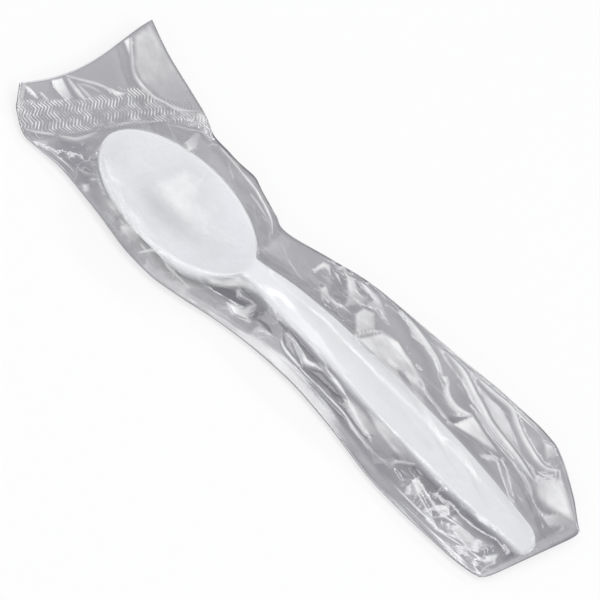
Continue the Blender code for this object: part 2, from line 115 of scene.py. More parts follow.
# height of the top along the middle: the dish, then the handle's ridge
def middleTop(x):
    shoulder = curve(spoon["shoulder"], x / spoon["length"])
    inside = curve(spoon["inside"], x / spoon["bowlLength"])
    fade = smooth((spoon["length"] - x) / (2 * spoon["endRound"]))
    ridge = spoon["ridge"] * smooth((x / spoon["bowlLength"] - 1.0) / spoon["dishToRidge"]) * fade
    return np.where(x < spoon["bowlLength"], np.minimum(inside, shoulder), shoulder + ridge)


# 1 in the bowl, 0 on the handle
def bowlShare(x):
    return 1 - smooth((x / spoon["bowlLength"] - spoon["dishEnd"]) / spoon["dishToRidge"])


def spoonTop(x, y):
    shoulder = curve(spoon["shoulder"], x / spoon["length"])
    w = halfWidth(x)
    inBowl = bowlShare(x)
    rim = spoon["bowlRim"] * inBowl + spoon["handleRim"] * (1 - inBowl)
    inner = np.maximum(w - rim, 0.05)
    power = spoon["dishPower"] * inBowl + spoon["ridgePower"] * (1 - inBowl)
    share = np.clip(np.abs(y) / inner, 0.0, 1.0)
    depth = (middleTop(x) - shoulder) * np.clip((w - rim) / spoon["rimRamp"], 0.0, 1.0)
    edge = np.clip((np.abs(y) - inner) / np.maximum(w - inner, 0.01), 0.0, 1.0)
    drop = spoon["bowlRimRound"] * inBowl + spoon["handleRimRound"] * (1 - inBowl)
    return shoulder + depth * (1 - share**power) - drop * edge**2


def spoonUnder(x, y):
    w = np.maximum(halfWidth(x), 0.05)
    edge = curve(spoon["shoulder"], x / spoon["length"]) - curve(spoon["side"], x / spoon["length"])
    keel = np.minimum(curve(spoon["underside"], x / spoon["bowlLength"]), edge)
    keel = np.where(x < spoon["undersideEnd"] * spoon["bowlLength"], keel, edge)
    return edge + (keel - edge) * (1 - np.clip(np.abs(y) / w, 0.0, 1.0) ** spoon["bellyPower"])


# the closed outline of the spoon's section at x: over the top, then back underneath
def spoonSection(x):
    w = float(halfWidth(x))
    hollow = float(
        smooth((x / spoon["length"] - spoon["hollowFrom"]) / (spoon["hollowFull"] - spoon["hollowFrom"]))
        * (1 - smooth((x - spoon["length"] + spoon["wall"] + spoon["endWall"]) / spoon["endBlend"]))
    )
    inBowl = float(bowlShare(x))
    rim = min(spoon["bowlRim"] * inBowl + spoon["handleRim"] * (1 - inBowl), spoon["mostWall"] * w)
    wall = min(spoon["wall"], spoon["mostWall"] * w)
    topY = np.concatenate([np.linspace(0, w - rim, spoon["topPoints"]), w - rim * np.array(spoon["rimSteps"])])
    topZ = spoonTop(np.full(topY.shape, x), topY)
    inner = (w - wall - spoon["hollowStep"]) * hollow + min(0.8 * w, 0.9 * w - wall) * (1 - hollow)
    lowY = np.concatenate([[w, w - wall], np.linspace(inner, 0.0, spoon["underPoints"])])
    lowZ = spoonUnder(np.full(lowY.shape, x), lowY)
    roof = spoonTop(np.full(lowY.shape, x), lowY) - spoon["wall"]
    lowZ[2:] += (roof[2:] - lowZ[2:]) * hollow
    half = list(zip(topY, topZ)) + list(zip(lowY, lowZ))
    other = [(-y, z) for y, z in half[-2:0:-1]]
    return [(x, y, z) for y, z in half + other]


# the film in mm; stations run from the cut edge of the tail to the weld, and at each one a row of edges gives
# the near fold's x, y and height and then the far one's, with x as a share of the spoon's length
film = {
    "edges": (
        (-0.167, -2.6, 3.4, -0.0926, 40.2, 4.6),
        (-0.152, -5.8, 2.6, -0.030, 36.4, 3.6),
        (-0.137, -8.2, 1.6, 0.041, 33.6, 2.4),
        (-0.091, -12.0, 1.4, 0.090, 31.1, 2.2),
        (-0.030, -11.6, 1.6, 0.125, 27.8, 2.6),
        (0.043, -13.3, 1.9, 0.162, 27.0, 2.9),
        (0.100, -15.2, 2.2, 0.190, 26.6, 3.0),
        (0.150, -16.9, 2.2, 0.222, 26.9, 2.8),
        (0.205, -17.3, 2.0, 0.255, 25.0, 2.6),
        (0.270, -15.8, 1.8, 0.299, 22.3, 2.6),
        (0.335, -13.5, 1.5, 0.327, 20.4, 3.0),
        (0.415, -12.0, 1.5, 0.412, 23.6, 3.2),
        (0.490, -11.8, 1.6, 0.490, 26.9, 3.0),
        (0.590, -13.4, 1.5, 0.590, 28.4, 3.0),
        (0.700, -16.7, 1.4, 0.700, 29.2, 3.2),
        (0.790, -17.7, 1.5, 0.810, 30.6, 3.0),
        (0.870, -17.8, 1.6, 0.905, 30.4, 3.2),
        (0.916, -17.4, 1.6, 0.958, 27.6, 3.2),
        (0.9600, -16.2, 1.5, 1.0600, 15.2, 2.3),
    ),
    "thick": 0.15, "spoonGap": 0.3, "foldRadius": 0.3, "flatWidth": 51.0,
    # margins round the spoon: at the folds, over it and under it, and the gap under it
    "margin": 1.4, "upperMargin": 0.5, "lowerMargin": 0.4, "lowerGap": 0.25,
    "sag": 0.010, "relaxCount": 2600, "drapeRows": 190, "drapeColumns": 64,
    "bandFrom": 2.0, "bandTo": 3.0, "bandWide": 8.0, "opening": 0.4,
    "cutHollow": 3.4, "hollowTo": 1.6, "hollowScale": 5.93, "hollowLean": 1.7,
    "weldFrom": 17.86, "weldLift": 0.3, "weldLiftFrom": 1.4,
    "cornerRound": 1.2, "cornerFrom": 0.5, "cornerPower": 12,
    # how far in the lower ply rises: shares of the width at the near and far folds, stations at the ends
    "nearRise": 0.17, "farRise": 0.24, "bandRise": 2.2, "weldRise": 0.3, "bottomLift": 0.075,
    "seamPlace": 0.72, "seamLap": 0.10, "seamStep": 0.25, "foldHalf": 0.12,
    "tailRows": 40, "bandRows": 34, "bodyRows": 345, "weldRows": 6, "topColumns": 180,
    # the painted highlight along each side fold and the painted shade line inside it: places in mm from a side
    # fold, strengths
    "foldGlintFrom": 0.3, "foldGlintTo": 1.5, "foldGlintWhite": 0.42, "foldShadeAt": 2.2, "foldShadeDark": 0.25,
    "foldRise": 0.6, "foldWide": 1.2, "foldWhite": 0.88, "patchSoft": 1.4,
    # how far the spoon's near wall shows past its outline, and up to where
    "wallShow": 0.6, "wallShowTo": 75.0, "wallShowFade": 25, "overSoft": 0.8,
}
lastStation = len(film["edges"]) - 1
outside = 50.0  # stands for the spoon's height at places beside it


# both side folds at station u, kept clear of the spoon
def edgeAt(u):
    places = np.arange(len(film["edges"]))
    rows = np.array(film["edges"], float)
    got = [curve(list(zip(places, rows[:, c])), u) for c in range(6)]
    near = np.stack([got[0] * spoon["length"], got[1], got[2]], -1)
    far = np.stack([got[3] * spoon["length"], got[4], got[5]], -1)
    near[..., 1] = np.minimum(near[..., 1], -halfWidth(near[..., 0]) - film["margin"])
    far[..., 1] = np.maximum(far[..., 1], halfWidth(far[..., 0]) + film["margin"])
    return near, far


# the film's place at station u and share c of the way from the near fold to the far one
def place(u, c):
    near, far = edgeAt(u)
    c = np.asarray(c, float)[..., None]
    flat = near[..., None, :] * (1 - c) + far[..., None, :] * c
    share = c[..., 0]
    hollow = film["cutHollow"] * (1 - smooth(np.asarray(u) / film["hollowTo"]))
    flat[..., 0] += hollow[..., None] * film["hollowScale"] * share * (1 - share) ** film["hollowLean"]
    corner = film["cornerRound"] * smooth((np.asarray(u) - lastStation + film["cornerFrom"]) / film["cornerFrom"])
    flat[..., 0] -= corner[..., None] * (2 * share - 1) ** film["cornerPower"]
    return flat


# height of the middle between both plies where they meet
def middleHeight(flat, u, c):
    end = smooth((np.asarray(u) - lastStation + film["weldLiftFrom"]) / film["weldLiftFrom"])[..., None]
    return flat[..., 2] + film["weldLift"] * end * np.sin(math.pi * c)


# the spoon's highest top, or its lowest underside, within the margin round each place
def underOrOver(x, y, margin, over):
    miss = -outside if over else outside
    best = np.full(x.shape, miss)
    for turn in np.arange(12) * math.pi / 6:
        px = x + margin * math.cos(turn)
        py = y + margin * math.sin(turn)
        pxIn = np.clip(px, 0.02, spoon["length"] - 0.02)
        inside = (px > 0) & (px < spoon["length"]) & (np.abs(py) <= halfWidth(pxIn))
        if over:
            best = np.maximum(best, np.where(inside, spoonTop(pxIn, py), miss))
        else:
            best = np.minimum(best, np.where(inside, spoonUnder(pxIn, py), miss))
    return best


# heights of a grid at rows and columns between its points
def cubicSample(z, rows, cols):
    for axis, at in ((0, rows), (1, cols)):
        n = z.shape[axis]
        i = np.clip(np.floor(at).astype(int), 0, n - 2)
        t = at - i
        w = (
            -0.5 * t + t**2 - 0.5 * t**3, 1 - 2.5 * t**2 + 1.5 * t**3,
            0.5 * t + 2 * t**2 - 1.5 * t**3, -0.5 * t**2 + 0.5 * t**3,
        )
        total = 0
        for k in range(4):
            part = np.take(z, np.clip(i + k - 1, 0, n - 1), axis=axis)
            total = total + part * (w[k][:, None] if axis == 0 else w[k][None, :])
        z = total
    return z


# the upper ply's heights: a membrane relaxed over the spoon, and joined to the lower ply all round
def drape(u, c):
    su = np.linspace(film["bandTo"], film["weldFrom"], film["drapeRows"])
    sc = np.linspace(0, 1, film["drapeColumns"])
    flat = place(su, np.broadcast_to(sc, (len(su), len(sc))))
    x, y = flat[..., 0], flat[..., 1]
    joined = middleHeight(flat, su, sc) + film["foldRadius"]
    need = underOrOver(x, y, film["upperMargin"], True) + film["spoonGap"] + film["thick"]
    z = np.maximum(joined, need)
    z[-1] = joined[-1]
    z[0] = joined[0]
    along = np.linalg.norm(np.diff(flat[..., :2], axis=0), axis=2).mean() ** -2
    across = np.linalg.norm(np.diff(flat[..., :2], axis=1), axis=2).mean() ** -2
    for _ in range(film["relaxCount"]):
        inner = along * (z[:-2, 1:-1] + z[2:, 1:-1]) + across * (z[1:-1, :-2] + z[1:-1, 2:]) - film["sag"]
        z[1:-1, 1:-1] = np.maximum(inner / (2 * (along + across)), need[1:-1, 1:-1])
    rows = np.interp(u, su, np.arange(len(su)))
    cols = np.interp(c, sc, np.arange(len(sc)))
    return cubicSample(z, rows, cols)


# the lower ply's heights: flat on the floor, and rising to the folds, the band and the weld
def lowerHeight(flat, u, c, joined):
    base = film["bottomLift"]
    edge = np.maximum(1 - c / film["nearRise"], 0) ** 2 + np.maximum(1 - (1 - c) / film["farRise"], 0) ** 2
    seal = np.maximum(1 - (u - film["bandTo"]) / film["bandRise"], 0.0) ** 2
    seal = np.where(u > film["bandTo"], seal, 1.0)
    weld = np.maximum(1 - np.maximum(film["weldFrom"] - u, 0.0) / film["weldRise"], 0.0) ** 2
    lift = np.clip(np.maximum(edge, np.maximum(seal, weld)[:, None]), 0.0, 1.0)
    z = base + (joined - film["foldRadius"] - base) * lift
    under = underOrOver(flat[..., 0], flat[..., 1], film["lowerMargin"], False) - film["lowerGap"]
    body = ((u > film["bandTo"]) & (u < film["weldFrom"]))[:, None]
    return np.where(body, np.maximum(np.minimum(z, under), base), z)


# the camera: the point it looks at, distance, lens and sensor in mm, angles in degrees, picture in pixels
view = {
    "target": (62.57, 6.92, 4.0), "distance": 522.3, "lens": 124.98, "sensor": 36, "picture": 600,
    "elevation": 52.56, "azimuth": -5.32, "roll": 47.21,
}
# the spoon's frame, in mm from its bowl's tip, set on the CAD spoon
low, high = (np.array(corner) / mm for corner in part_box("spoon"))
shift = np.array([low[0] - spoon["tipInset"], (low[1] + high[1]) / 2, 0.0])


def cameraAxes():
    el, az, roll = (math.radians(view[k]) for k in ("elevation", "azimuth", "roll"))
    back = np.array([math.sin(az) * math.cos(el), -math.cos(az) * math.cos(el), math.sin(el)])
    right = np.array([math.cos(az), math.sin(az), 0.0])
    up = np.cross(back, right)
    c, s = math.cos(roll), math.sin(roll)
    return back, c * right + s * up, -s * right + c * up


# where points of the spoon's frame, in mm, land in the 600 x 600 picture
def photoPlace(points):
    back, right, up = cameraAxes()
    eye = np.array(view["target"]) + back * view["distance"]
    w = points - eye
    depth = -(w @ back)
    f = view["lens"] / view["sensor"] * view["picture"]
    middle = view["picture"] / 2
    return np.stack([middle + f * (w @ right) / depth, middle - f * (w @ up) / depth], -1)


def makeCamera():
    back, right, up = cameraAxes()
    eye = (np.array(view["target"]) + back * view["distance"] + shift) * mm
    data = bpy.data.cameras.new("camera")
    cam = bpy.data.objects.new("camera", data)
    bpy.context.scene.collection.objects.link(cam)
    data.lens = view["lens"]
    data.sensor_width = view["sensor"]
    data.clip_start = 0.01
    cam.matrix_world = Matrix([
        (right[0], up[0], back[0], eye[0]), (right[1], up[1], back[1], eye[1]),
        (right[2], up[2], back[2], eye[2]), (0, 0, 0, 1),
    ])
    bpy.context.scene.camera = cam


def meshObject(name, points, faces, smoothFaces=True):
    mesh = bpy.data.meshes.new(name)
    mesh.from_pydata((np.asarray(points) + shift) * mm, [], faces)
    mesh.update()
    if smoothFaces:
        mesh.shade_smooth()
    obj = bpy.data.objects.new(name, mesh)
    bpy.context.scene.collection.objects.link(obj)
    return obj


def gridFaces(rows, cols):
    i = np.arange((rows - 1) * (cols - 1))
    a = i // (cols - 1) * cols + i % (cols - 1)
    return np.stack([a, a + 1, a + cols + 1, a + cols], 1).tolist()


# the sections lie closer together round the bowl's tip and the handle's end
def makeSpoon():
    turn = np.linspace(0.04, math.pi * 0.93, spoon["bowlStations"])
    xs = list(spoon["bowlLength"] * (1 - np.cos(turn)) / 2)
    xs += list(np.linspace(xs[-1] + 0.4, spoon["length"] - spoon["endRound"], spoon["handleStations"]))
    turn = np.linspace(0.15, math.pi / 2 - 0.02, spoon["endStations"])
    xs += list(spoon["length"] - spoon["endRound"] * (1 - np.sin(turn)))
    loops = np.array([spoonSection(x) for x in xs])
    rows, n = loops.shape[:2]
    faces = []
    for k in range(rows - 1):
        for i in range(n):
            j = (i + 1) % n
            faces.append((k * n + i, (k + 1) * n + i, (k + 1) * n + j, k * n + j))
    faces.append(tuple(range(n)))
    faces.append(tuple(range(rows * n - 1, (rows - 1) * n - 1, -1)))
    return meshObject("teaspoon", loops.reshape(-1, 3), faces)


# fold lines with painted highlights along them, partly crease whitening; those of height 0 are painted highlights
# only: places in the 600 x 600 picture, half width there, height in mm, whiteness
foldLines = {
    "tailFold": ([(131, 38), (132, 52), (134, 71), (139, 81), (146, 89), (155, 97), (165, 102),
        (178, 109), (197, 111)], 1.6, 0.15, 0.8),
    "tailStreakA": ([(144, 47), (147, 60), (152, 70), (157, 75)], 1.8, 0.05, 0.6),
    "tailStreakB": ([(155, 37), (157, 49), (158, 59)], 1.3, 0.05, 0.6),
    "tailStreakC": ([(68, 78), (75, 87), (85, 99)], 2, 0.1, 0.75),
    "tailStreakD": ([(78, 84), (86, 92), (93, 99)], 1.5, 0.1, 0.55),
    "tailArc1": ([(66, 75), (80, 79), (96, 83), (106, 87), (114, 92), (125, 93)], 1.4, 0.1, 0.75),
    "tailArc2": ([(77, 83), (90, 86), (101, 92)], 1.2, 0.1, 0.55),
    "tailArc3": ([(109, 88), (118, 93), (125, 93)], 1.8, 0.1, 0.85),
    "tailArc4": ([(117, 86), (124, 90)], 1.2, 0.1, 0.5),
    "tailLeft1": ([(27, 86), (33, 92), (38, 98)], 1.3, 0.1, 0.85),
    "tailLeft2": ([(41, 92), (49, 100)], 1.2, 0.1, 0.65),
    "tailLeftEdge": ([(21, 86), (19, 100), (21, 114), (25, 127)], 0.9, 0.05, 0.6),
    "underBand1": ([(24, 128), (34, 131), (54, 134)], 1.3, 0.15, 0.75),
    "underBand2": ([(60, 136), (74, 138), (85, 136), (97, 132)], 1.6, 0.2, 0.9),
    "underBand3": ([(104, 127), (124, 123), (144, 121), (161, 121)], 1.4, 0.1, 0.6),
    "underBand4": ([(164, 124), (176, 126), (189, 129), (203, 131)], 1.1, 0.15, 0.6),
    "tipFold1": ([(90, 159), (96, 151), (101, 144)], 1.1, 0.3, 0.55),
    "tipFold2": ([(80, 167), (88, 175)], 1, 0.2, 0.6),
    "tipFold3": ([(78, 155), (84, 160), (91, 160)], 1, 0.2, 0.55),
    "tipFold4": ([(90, 179), (96, 179)], 1.1, 0.1, 0.7),
    "tipFold5": ([(62, 160), (66, 156), (64, 150)], 1, 0.2, 0.5),
    "leftEdge1": ([(40, 147), (62, 167), (80, 191), (96, 207)], 0.9, 0.05, 0.55),
    "nearBowl1": ([(96, 160), (97, 170), (102, 187), (109, 201), (116, 214), (121, 225)], 1.5, 0.2, 0.6),
    "nearBowl2": ([(106, 208), (112, 220), (120, 233), (137, 251)], 1.1, 0.2, 0.55),
    "nearBowl3": ([(137, 253), (154, 249), (163, 253)], 1.3, 0.2, 0.8),
    "nearBowl4": ([(137, 252), (154, 268), (170, 285), (182, 293)], 1, 0.2, 0.6),
    "nearBowl5": ([(146, 256), (165, 276), (184, 290), (206, 302), (228, 306)], 0.9, 0.2, 0.5),
    "nearBowl6": ([(160, 283), (185, 297), (215, 313), (250, 336)], 0.9, 0.15, 0.5),
    "nearLine1": ([(60, 168), (90, 200), (118, 234), (150, 272), (185, 298), (230, 327), (262, 352),
        (300, 390)], 0.9, 0.1, 0.4),
    "farRim1": ([(220, 147), (229, 157), (244, 175), (257, 191), (266, 207), (271, 220),
        (272, 235)], 0.9, 0.3, 1),
    "farRim2": ([(250, 193), (260, 205), (266, 216)], 1.2, 0.2, 0.7),
    "farRim3": ([(228, 163), (232, 174), (234, 181)], 1.4, 0.15, 0.5),
    "farRim4": ([(264, 212), (270, 225), (269, 240)], 1.2, 0.2, 0.5),
    "farRim5": ([(206, 147), (213, 144), (220, 146)], 1.1, 0.1, 0.5),
    "neckLine": ([(280, 238), (287, 258), (295, 270), (301, 279)], 1, 0.2, 0.65),
    "neckCrease": ([(354, 336), (366, 332), (381, 331)], 1.6, 0.1, 0.8),
    "lobeEdge": ([(381, 331), (396, 342), (408, 359), (420, 381), (430, 397), (452, 425)], 1.5, 0.4, 0.6),
    "longFoldA": ([(401, 310), (415, 327), (428, 345), (438, 361), (443, 376)], 2.2, 0.3, 0.85),
    "longFoldA2": ([(446, 380), (449, 395), (455, 405), (463, 411), (472, 415)], 2.6, 0.3, 0.85),
    "longFoldB": ([(447, 353), (463, 370), (474, 391), (482, 405), (491, 422), (507, 443), (520, 460),
        (532, 478)], 2.3, 0.3, 0.8),
    "longFoldC": ([(480, 380), (497, 395), (512, 408), (518, 424), (528, 445), (543, 466),
        (556, 471)], 2.3, 0.3, 0.8),
    "seamLine": ([(472, 405), (482, 418), (494, 436), (512, 458)], 0.9, 0.15, 0.5),
    "nearFold1": ([(260, 322), (271, 334)], 1.6, 0.2, 0.75),
    "nearFold2": ([(283, 331), (284, 346), (301, 367)], 1.3, 0.4, 0.8),
    "nearFold3": ([(289, 330), (305, 359), (321, 366), (337, 381), (347, 395)], 2.2, 0.3, 0.8),
    "nearFold4": ([(301, 368), (316, 384), (340, 408), (352, 424), (372, 450), (388, 466)], 1.2, 0.3, 0.7),
    "nearFold5": ([(239, 289), (247, 298), (256, 305), (252, 318)], 1.3, 0.3, 0.75),
    "archFold": ([(388, 468), (396, 461), (415, 464)], 1.4, 0.3, 0.8),
    "starFold1": ([(403, 497), (408, 487), (413, 480)], 1.4, 0.3, 0.75),
    "starFold2": ([(413, 482), (420, 497), (432, 517)], 1.3, 0.3, 0.65),
    "starFold3": ([(421, 485), (430, 500), (438, 512)], 1.1, 0.2, 0.55),
    "starFold4": ([(432, 518), (443, 516), (457, 524)], 1.1, 0.2, 0.75),
    "starFold5": ([(432, 527), (447, 536), (462, 545)], 1.1, 0.2, 0.65),
    "cornerFold1": ([(470, 552), (484, 560), (497, 556)], 1.3, 0.3, 0.75),
    "cornerFold2": ([(478, 575), (486, 566), (497, 562)], 1.2, 0.3, 0.65),
    "fan1": ([(562, 471), (550, 470), (541, 466)], 1.1, 0.3, 0.75),
    "fan2": ([(562, 473), (550, 476), (540, 475)], 1.1, 0.3, 0.65),
    "fan3": ([(561, 476), (552, 481), (545, 481)], 1.1, 0.3, 0.65),
    "weldLine": ([(483, 572), (510, 560), (537, 543), (556, 531), (578, 525)], 1, 0.15, 0.55),
    "bowlLine1": ([(197, 218), (217, 227), (237, 241)], 1.8, 0, 0.4),
    "bowlLine2": ([(200, 203), (214, 204)], 1.2, 0, 0.3),
    "bowlLine3": ([(190, 226), (212, 238), (236, 246)], 1.6, 0, 0.25),
    "ridgeGlow": ([(262, 284), (287, 298), (308, 310), (321, 320), (336, 337), (347, 347), (360, 360),
        (375, 378), (391, 397), (401, 409), (416, 428), (431, 447)], 4, 0, 0.26),
    "handleStreak1": ([(416, 398), (431, 420), (446, 450), (463, 477)], 1.8, 0, 0.4),
    "handleStreak2": ([(445, 437), (465, 455), (481, 489), (491, 506)], 1.8, 0, 0.4),
}

# painted highlights on lit facets and painted glare areas: corners in the picture, soft edge, height in mm,
# whiteness
litPatches = {
    "tailCorner": ([(124, 41), (129, 38), (131, 58), (128, 53)], 1.2, 0.1, 0.9),
    "tailBlock": ([(52, 80), (62, 78), (73, 98), (69, 101), (61, 95), (56, 90)], 1.5, 0.1, 0.75),
    "tailRight": ([(134, 36), (150, 24), (171, 60), (206, 111), (197, 113), (160, 99), (140, 80),
        (134, 66)], 3, 0, 0.58),
    "tailPoint": ([(139, 32), (149, 25), (153, 36), (144, 38)], 2, 0.05, 0.6),
    "bandRight": ([(168, 102), (200, 112), (205, 120), (180, 115)], 2.5, 0, 0.5),
    "bandCorner": ([(197, 112), (207, 113), (205, 128), (196, 124)], 2, 0.1, 0.5),
    "underLeft": ([(31, 140), (48, 139), (50, 145), (36, 145)], 1.5, 0.1, 0.6),
    "tipLeft": ([(48, 146), (55, 148), (62, 163), (56, 161)], 1.5, 0.1, 0.5),
    "notchFacet": ([(184, 143), (196, 132), (201, 134), (196, 150), (189, 151)], 1.5, 0.3, 0.6),
    "tipBlob": ([(82, 184), (90, 183), (92, 192), (83, 193)], 2, 0.2, 0.85),
    "nearBlob": ([(118, 225), (134, 224), (141, 233), (135, 246), (121, 234)], 2, 0.3, 0.62),
    "nearGlare": ([(150, 268), (178, 280), (208, 290), (252, 322), (262, 345), (230, 326),
        (182, 296)], 4, 0, 0.42),
    "leftGlare": ([(62, 172), (92, 196), (110, 222), (122, 244), (104, 224), (78, 194)], 2.5, 0, 0.35),
    "neckGlare": ([(258, 250), (272, 239), (282, 232), (330, 258), (330, 268), (304, 284), (289, 268),
        (270, 256)], 3.5, 0, 0.4),
    "neckFacet1": ([(313, 269), (323, 262), (329, 264), (334, 276), (323, 268), (315, 273)], 1.2, 0.3, 0.8),
    "neckFacet2": ([(319, 289), (326, 285), (330, 295), (336, 303), (329, 304), (320, 299)], 1.5, 0.3, 0.7),
    "neckFacet3": ([(346, 278), (354, 280), (359, 295), (370, 297), (364, 305), (344, 307),
        (347, 294)], 1.5, 0.3, 0.62),
    "neckFacet4": ([(359, 282), (368, 286), (380, 298), (390, 325), (384, 320), (377, 309), (364, 306),
        (374, 299)], 1.3, 0.3, 0.7),
    "neckFacet5": ([(355, 314), (363, 308), (375, 313), (374, 330), (355, 334)], 1.5, 0.3, 0.8),
    "lobe": ([(358, 339), (382, 333), (398, 343), (414, 368), (427, 388), (414, 382), (399, 370),
        (388, 359), (370, 352)], 2.2, 0.4, 0.72),
    "lobeInner": ([(354, 337), (391, 347), (413, 368), (427, 393), (423, 407), (399, 382),
        (373, 354)], 2.5, 0, 0.62),
    "lobeRim": ([(382, 334), (398, 343), (414, 368), (427, 388), (411, 374), (399, 358),
        (388, 346)], 2.5, 0.1, 0.85),
    "nearStrip": ([(140, 268), (176, 294), (222, 324), (269, 360), (330, 426), (376, 483), (432, 530),
        (474, 567), (478, 558), (439, 522), (383, 475), (337, 418), (276, 352), (229, 316), (183, 286),
        (147, 260)], 2, 0, 0.45),
    "weldBand": ([(478, 574), (510, 560), (545, 540), (579, 524), (578, 531), (548, 549), (512, 567),
        (485, 577)], 1.5, 0, 0.45),
    "foldBlock": ([(440, 376), (448, 376), (451, 387), (445, 387)], 1.2, 0.3, 0.7),
    "triangle": ([(452, 425), (472, 416), (500, 456), (476, 440)], 1.2, 0.5, 0.78),
    "edgePatch": ([(543, 442), (553, 446), (558, 458), (546, 460)], 2, 0.3, 0.6),
    "endPatch": ([(574, 521), (560, 514), (546, 507), (537, 498), (533, 480), (561, 477)], 4.5, 0.3, 0.8),
    "cornerPlane": ([(541, 517), (560, 512), (578, 528), (548, 527)], 1.5, 0.3, 0.5),
    "nearFacet": ([(228, 302), (243, 308), (255, 302), (249, 320), (234, 314)], 1.5, 0.3, 0.7),
    "nearLong": ([(345, 392), (366, 412), (396, 452), (390, 460), (368, 438), (350, 410)], 3, 0.3, 0.55),
    "nearLongB": ([(366, 408), (384, 422), (402, 442), (415, 461), (404, 463), (390, 450),
        (376, 432)], 3, 0.1, 0.6),
    "cornerFacet": ([(484, 556), (499, 553), (495, 562), (486, 563)], 1.2, 0.3, 0.78),
    "bowlLeft": ([(101, 158), (108, 156), (126, 200), (156, 240), (144, 238), (114, 204)], 3.5, 0, 0.4),
    "bowlGlare": ([(154, 184), (185, 170), (205, 178), (199, 199), (217, 212), (213, 227), (225, 247),
        (197, 236), (179, 218), (166, 203)], 9, 0, 0.7),
    "neckWall": ([(206, 277), (222, 280), (238, 278), (252, 283), (262, 294), (256, 292), (243, 287),
        (228, 287), (212, 284)], 2, 0, 0.7),
    "bowlSpot": ([(190, 170), (204, 168), (208, 180), (197, 181)], 3.5, 0, 0.4),
}

# painted shade in dark pockets where the film dips beside the spoon: corners in the picture, soft edge, height in
# mm, darkness
darkPockets = {
    "tailSlot": ([(64, 79), (67, 79), (79, 98), (76, 99)], 1.2, 0, 0.35),
    "tipPocket": ([(53, 141), (74, 140), (88, 144), (86, 160), (78, 168), (68, 170),
        (60, 156)], 3, -0.2, 0.42),
    "underTip": ([(78, 172), (90, 174), (96, 188), (100, 202), (92, 196)], 2.5, -0.1, 0.25),
    "besideBowl": ([(103, 180), (109, 193), (117, 206), (126, 218), (121, 218), (113, 207),
        (106, 194)], 1.2, -0.1, 0.5),
    "nearBowlPocket": ([(112, 216), (120, 215), (128, 222), (116, 221)], 1.2, -0.2, 0.6),
    "nearBowlPocket2": ([(146, 255), (162, 256), (170, 270), (180, 281), (170, 280),
        (156, 268)], 1.8, -0.1, 0.3),
    "pocket1": ([(206, 284), (237, 290), (238, 297), (254, 302), (243, 307), (228, 299),
        (212, 290)], 1.3, -0.3, 0.85),
    "pocket2": ([(238, 290), (258, 293), (271, 304), (286, 330), (289, 346), (280, 340), (258, 327),
        (251, 317), (255, 305), (242, 297)], 2, 0, 0.8),
    "pocket3": ([(290, 340), (296, 342), (304, 358), (300, 362)], 1.2, -0.3, 0.6),
    "pocket4": ([(280, 320), (296, 333), (314, 354), (334, 380), (328, 377), (308, 354),
        (290, 334)], 1.3, -0.3, 0.8),
    "pocket5": ([(303, 367), (322, 371), (334, 385), (344, 399), (335, 397), (318, 380)], 1.3, -0.4, 0.85),
    "pocket6": ([(307, 379), (316, 385), (342, 412), (350, 424), (338, 416), (318, 394)], 1.3, -0.3, 0.65),
    "pocket7": ([(361, 435), (373, 435), (366, 438)], 1, -0.2, 0.6),
    "pocket8": ([(409, 467), (415, 467), (424, 477), (417, 477)], 1.3, -0.3, 0.7),
    "pocket9": ([(395, 468), (400, 469), (410, 478), (402, 480)], 1.5, -0.3, 0.5),
    "pocket10": ([(424, 480), (450, 496), (478, 524), (520, 552), (500, 549), (466, 526)], 4, -0.2, 0.35),
    "neckPocket": ([(330, 266), (343, 270), (345, 296), (338, 303), (331, 290)], 1.8, -0.3, 0.3),
    "rimPocket": ([(255, 228), (268, 232), (268, 247), (257, 245)], 2, -0.1, 0.25),
    "lobeSlit": ([(396, 366), (404, 372), (412, 388), (416, 396), (408, 388), (398, 374)], 1, 0, 0.4),
    "betweenFolds": ([(487, 398), (497, 396), (512, 412), (520, 432), (524, 450), (512, 440),
        (497, 416)], 3, 0, 0.25),
    "wedge": ([(445, 420), (452, 416), (470, 415), (455, 423)], 1.3, -0.2, 0.5),
    "wedge2": ([(478, 456), (500, 458), (512, 500), (528, 530), (500, 492)], 4, -0.2, 0.2),
    "bowlSlit": ([(185, 178), (191, 178), (213, 196), (207, 197)], 2, 0, 0.08),
    "bowlNeck": ([(194, 249), (223, 252), (220, 266), (198, 266), (190, 258)], 4.5, 0, 0.2),
}

# the crimped band's outline in the picture
bandCorners = [
    (14, 99), (44, 100), (64, 99), (77, 100), (93, 96), (112, 92), (128, 87), (139, 87), (149, 92), (160, 100),
    (171, 106), (187, 112), (212, 114), (212, 127), (188, 127), (164, 122), (144, 120), (124, 122), (104, 126),
    (77, 134), (54, 134), (16, 126),
]

# places where the film is crumpled into small facets: middle, radius, strength
crumpledSpots = (
    ((345, 292), 50, 1), ((430, 500), 44, 0.9), ((486, 560), 24, 1), ((78, 165), 30, 1),
    ((110, 222), 26, 0.8), ((262, 320), 30, 0.6), ((400, 365), 34, 0.6), ((553, 470), 20, 0.9),
    ((262, 210), 24, 0.7), ((290, 255), 24, 0.5), ((170, 275), 24, 0.6), ((330, 390), 30, 0.6),
    ((380, 450), 30, 0.6), ((520, 510), 24, 0.5), ((210, 130), 16, 0.6),
)


# distance in pixels from each place to a line of points
def toLine(p, points):
    best = np.full(len(p), 1e9)
    for a, b in zip(points[:-1], points[1:]):
        a, b = np.array(a, float), np.array(b, float)
        t = np.clip(((p - a) @ (b - a)) / ((b - a) @ (b - a)), 0, 1)
        best = np.minimum(best, np.hypot(*(p - a - t[:, None] * (b - a)).T))
    return best


